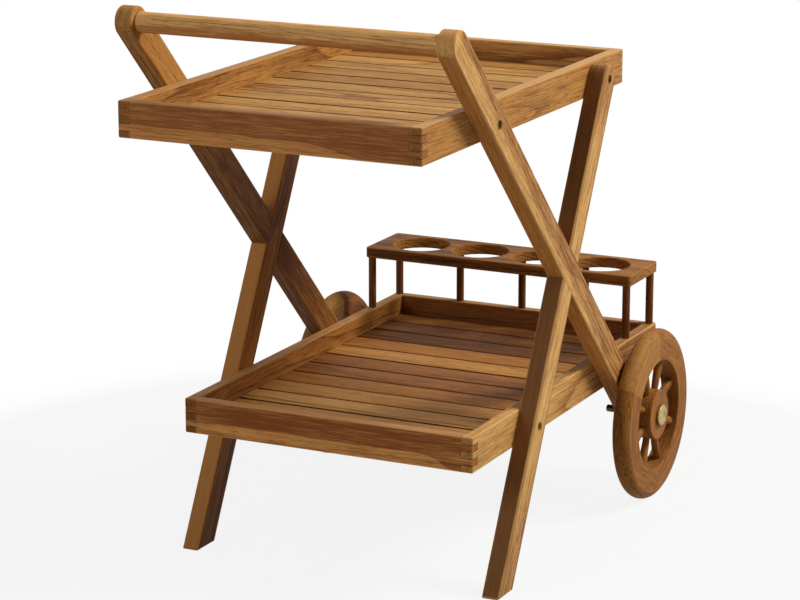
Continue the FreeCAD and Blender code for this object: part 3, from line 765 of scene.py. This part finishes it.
def rimColor(tree, color, sectors, seed, dark):
    shade = addNode(tree, "ShaderNodeTexWhiteNoise", noise_dimensions="1D")
    feed(tree, shade.inputs["W"], seed)
    color = paint(tree, color, shade.outputs["Value"], wheels["segmentShade"], dark)
    endGrain, seam, shoulder = wheels["endGrain"], wheels["seam"], wheels["shoulder"]
    patch = calc(tree, "COMPARE", sectors["Number"], endGrain["segment"], 0.1)
    color = paint(tree, color, patch, endGrain["lift"], tones["wheat"][0])
    hatch = noise(tree, stretch(tree, sectors["Vector"], endGrain["scale"]), 3.0, 0.6)
    lines = ease(tree, hatch, *endGrain["range"], 0.0, endGrain["lines"])
    color = paint(tree, color, patch, lines, dark)
    line = calc(tree, "LESS_THAN", sectors["Seam"], seam["width"])
    color = paint(tree, color, line, seam["share"], jointAndShadeDark)
    # painted highlight along the shoulder, mixed towards the gold tone
    offShoulder = apart(tree, sectors["Radius"], shoulder["radius"])
    shoulderHighlight = ease(tree, offShoulder, shoulder["start"], shoulder["width"], 1.0, 0.0)
    return paint(tree, color, shoulderHighlight, shoulder["lift"], tones["gold"][0])


def wheelMaterial(node, side, part, count, start):
    material = newMaterial(f"teak_{node}")
    tree = material.node_tree
    low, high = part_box(f"{side}_wheel_hub")
    vector = objectPlace(tree, centre=(low + high) / 2)
    sectors = useGroup(tree, wheelSectors, Vector=vector, Count=float(count), Start=start)
    vector = sectors["Vector"]
    if part == "spokes":  # their grain runs outward
        onward, outward, across = split(tree, vector)
        vector = join(tree, outward, onward, across)
    dice = random.Random(node)
    seed = calc(tree, "MULTIPLY_ADD", sectors["Number"], seedGap, dice.uniform(2.0, 30.0))
    light, dark = tones[wheels["tone"][side]]
    grain = grainOf(dice, Pith_Side=wheels["pithSide"][part], **wheels["grain"])
    wood = useGroup(tree, teakGrain, Vector=vector, Seed=seed, Light=light, Dark=dark, **grain)
    color = wood["Color"]
    if part == "rim":
        color = rimColor(tree, color, sectors, seed, dark)
    finishMaterial(material, color, wood["Roughness"], wood["Height"], shine=wheels["shine"])
    dress(node, material)


for side in ("right", "left"):
    wheelMaterial(f"{side}_wheel_rim", side, "rim", wheels["segments"], wheels["segmentStart"])
    wheelMaterial(f"{side}_wheel_spokes", side, "spokes", wheels["spokes"], 0.0)
    teakBoard(f"{side}_wheel_hub", (0, 0.5, 1), (0, 1, -0.5), **wheels["hub"])
print("wheels dressed")


# metal: brass bolts and bushes whose inner end is darkened as painted shade, plated screws, washers and nuts
metals = {
    "cloud": (90.0, 90.0, 90.0), "speck": (900.0, 900.0, 900.0),
    "darkRange": (0.45, 0.75), "dullRange": (0.3, 0.7),
    "finish": {"strength": 0.12, "depth": 0.0002, "shine": 0.5},
    "brass": {"light": "bda668", "dark": "6e5a30", "roughness": (0.24, 0.42), "shadedInnerEnd": "3a3220"},
    "plated": {"light": "b9a36e", "dark": "5e4f31", "roughness": (0.30, 0.5)},
    "shadedInnerEnd": {"from": 0.262, "to": 0.270, "share": 0.9},  # metres from the middle of the trolley
}


def metalMaterial(name, values):
    material = newMaterial(name)
    tree = material.node_tree
    vector = objectPlace(tree)
    cloud = noise(tree, stretch(tree, vector, metals["cloud"]), 4.0, 0.55)
    speck = noise(tree, stretch(tree, vector, metals["speck"]), 2.0, 0.5)
    color = mixColor(tree, ease(tree, cloud, *metals["darkRange"]), tint(values["light"]), tint(values["dark"]))
    # painted shade: the inner end of the brass bolts and bushes is darkened
    if "shadedInnerEnd" in values:
        shadedInnerEnd = metals["shadedInnerEnd"]
        x = split(tree, vector)[0]
        inside = ease(tree, calc(tree, "ABSOLUTE", x), shadedInnerEnd["from"], shadedInnerEnd["to"], 1.0, 0.0)
        color = paint(tree, color, inside, shadedInnerEnd["share"], tint(values["shadedInnerEnd"]))
    roughness = ease(tree, cloud, *metals["dullRange"], *values["roughness"])
    finishMaterial(material, color, roughness, speck, **metals["finish"])
    tree.nodes["Principled BSDF"].inputs["Metallic"].default_value = 1.0
    return material


brass = metalMaterial("satinBrass", metals["brass"])
plated = metalMaterial("platedSteel", metals["plated"])
for side in ("right", "left"):
    dress(f"{side}_axle_bolt", brass)
    dress(f"{side}_wheel_bush", brass)
    dress(f"{side}_axle_washers", plated)
    dress(f"{side}_axle_nut", plated)
dress("leg_screws", plated)
print("metal dressed")


# studio: pale floor that fades to white, soft lamps, the photograph's view
studio = {
    "floor": {
        "size": 14.0, "color": (0.55, 0.55, 0.54, 1.0), "roughness": 0.9,
        "fadeStart": 0.3, "fadeEnd": 1.1, "haze": 0.88,
    },
    "skyStrength": 0.11,
    "lamps": {
        "key": {
            "place": (2.85, 1.6, 3.4), "aim": (0.0, 0.0, 0.4), "size": 1.8, "power": 200.0, "color": (1.0, 0.98, 0.95),
        },
        "front": {
            "place": (-1.8, -4.0, 2.4), "aim": (0.0, 0.0, 0.45), "size": 2.4, "power": 50.0, "color": (1.0, 0.99, 0.97),
        },
    },
    "camera": {
        "place": (1.92897, -3.996633, 1.505302), "turn": (75.729, 0.0, 25.927),
        "focal": 2896.215, "imageWidth": 800, "sensor": 36.0,  # focal length in pixels of the image
    },
}


def intoScene(name, data):
    thing = bpy.data.objects.new(name, data)
    bpy.context.scene.collection.objects.link(thing)
    return thing


def makeFloor(values):
    half = values["size"] / 2
    mesh = bpy.data.meshes.new("floor")
    corners = [(-half, -half, 0), (half, -half, 0), (half, half, 0), (-half, half, 0)]
    mesh.from_pydata(corners, [], [(0, 1, 2, 3)])
    floor = intoScene("floor", mesh)
    material = newMaterial("paleFloor")
    tree = material.node_tree
    shader = tree.nodes["Principled BSDF"]
    shader.inputs["Base Color"].default_value = values["color"]
    shader.inputs["Roughness"].default_value = values["roughness"]
    shader.inputs["Specular IOR Level"].default_value = 0.0
    glow = addNode(tree, "ShaderNodeEmission")
    reach = addNode(tree, "ShaderNodeVectorMath", operation="LENGTH")
    feed(tree, reach.inputs[0], addNode(tree, "ShaderNodeTexCoord").outputs["Object"])
    away = ease(tree, reach.outputs["Value"], values["fadeStart"], values["fadeEnd"])
    mix = addNode(tree, "ShaderNodeMixShader")
    feed(tree, mix.inputs[0], times(tree, calc(tree, "MAXIMUM", away, values["haze"]), seenRay(tree)))
    feed(tree, mix.inputs[1], shader.outputs[0])
    feed(tree, mix.inputs[2], glow.outputs[0])
    feed(tree, tree.nodes["Material Output"].inputs["Surface"], mix.outputs[0])
    mesh.materials.append(material)


def makeSky(strength):
    world = bpy.data.worlds.new("studio")
    bpy.context.scene.world = world
    world.use_nodes = True
    tree = world.node_tree
    background = tree.nodes["Background"]
    background.inputs["Color"].default_value = (1.0, 1.0, 1.0, 1.0)
    feed(tree, background.inputs["Strength"], ease(tree, seenRay(tree), 0.0, 1.0, strength, 1.0))


def makeLamps(lamps):
    for name, lamp in lamps.items():
        data = bpy.data.lights.new(name, "AREA")
        data.shape = "DISK"
        data.size = lamp["size"]
        data.energy = lamp["power"]
        data.color = lamp["color"]
        thing = intoScene(name, data)
        thing.location = lamp["place"]
        toAim = Vector(lamp["aim"]) - Vector(lamp["place"])
        thing.rotation_euler = toAim.to_track_quat("-Z", "Y").to_euler()


def makeCamera(values):
    data = bpy.data.cameras.new("photoView")
    data.sensor_fit = "HORIZONTAL"
    data.sensor_width = values["sensor"]
    data.lens = values["focal"] / values["imageWidth"] * values["sensor"]
    camera = intoScene("photoView", data)
    camera.location = values["place"]
    camera.rotation_euler = [math.radians(v) for v in values["turn"]]
    bpy.context.scene.camera = camera


makeFloor(studio["floor"])
makeSky(studio["skyStrength"])
makeLamps(studio["lamps"])
makeCamera(studio["camera"])
bpy.context.scene.view_settings.view_transform = "Standard"
print("studio ready")
